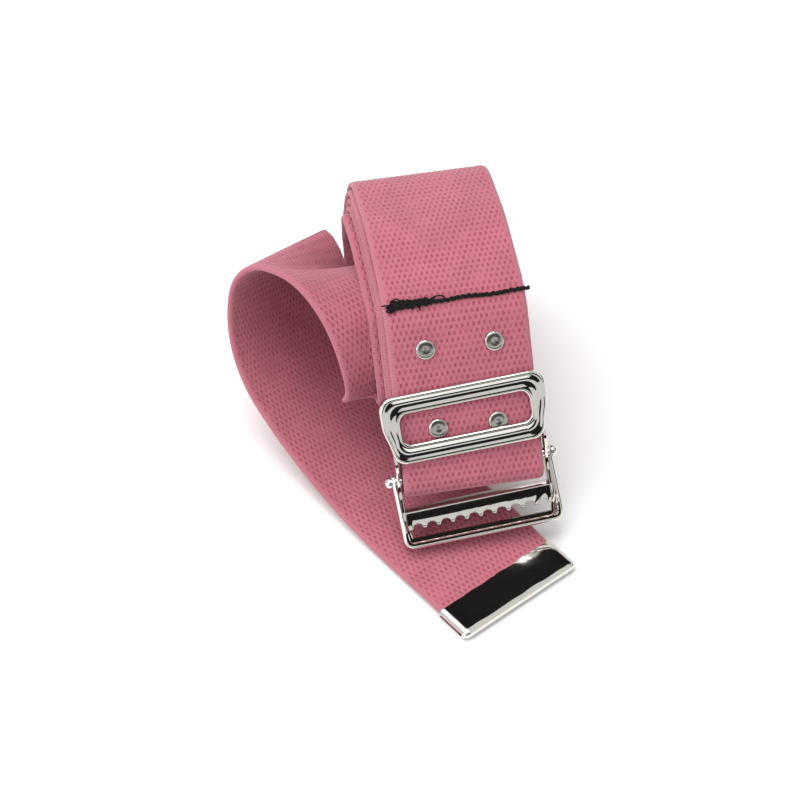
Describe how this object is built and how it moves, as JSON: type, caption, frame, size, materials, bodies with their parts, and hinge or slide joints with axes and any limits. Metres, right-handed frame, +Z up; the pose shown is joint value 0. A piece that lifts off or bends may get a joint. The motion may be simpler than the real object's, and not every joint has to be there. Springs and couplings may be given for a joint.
{
  "type": "gait belt",
  "caption": "Rolled cotton gait belt with a toothed metal pivot buckle, its metal-tipped free end curling out of the roll and lying flat in front.",
  "frame": {"origin": "middle of the metal tip's underside, on the surface the belt lies on", "axes": "+X along the roll, to the right of the buckle's face; +Y from the tip towards the back of the roll; +Z up"},
  "size_m": [0.1089, 0.1722, 0.0823],
  "materials": {
    "webbing": "matt woven cotton",
    "tip_metal": "polished nickel plate",
    "buckle_metal": "polished nickel plate",
    "rivet_metal": "satin nickel plate",
    "thread": "spun polyester thread"
  },
  "bodies": {
    "belt": {"webbing_doubled_end": "webbing", "webbing_roll": "webbing", "webbing_ring": "webbing", "webbing_tail": "webbing", "metal_tip": "tip_metal", "pivot_pin": "buckle_metal", "seam_thread": "thread", "seam_back_tack": "thread", "rivet_cap_1": "rivet_metal", "rivet_cap_2": "rivet_metal", "rivet_cap_3": "rivet_metal", "rivet_cap_4": "rivet_metal", "rivet_back_1": "rivet_metal", "rivet_back_2": "rivet_metal", "rivet_back_3": "rivet_metal", "rivet_back_4": "rivet_metal"},
    "lever": {"lever_frame": "buckle_metal"},
    "bail": {"bail": "buckle_metal"}
  },
  "joints": [
    {"name": "lever_pivot", "type": "hinge", "parent": "belt", "child": "lever", "pos_m": [-0.0053, 0.04058, 0.02336], "axis": [0.9983, 0.033, 0.0472], "range_deg": [0, 90]},
    {"name": "bail_pivot", "type": "hinge", "parent": "belt", "child": "bail", "pos_m": [-0.0053, 0.04058, 0.02336], "axis": [-0.9983, -0.033, -0.0472], "range_deg": [0, 30]}
  ]
}
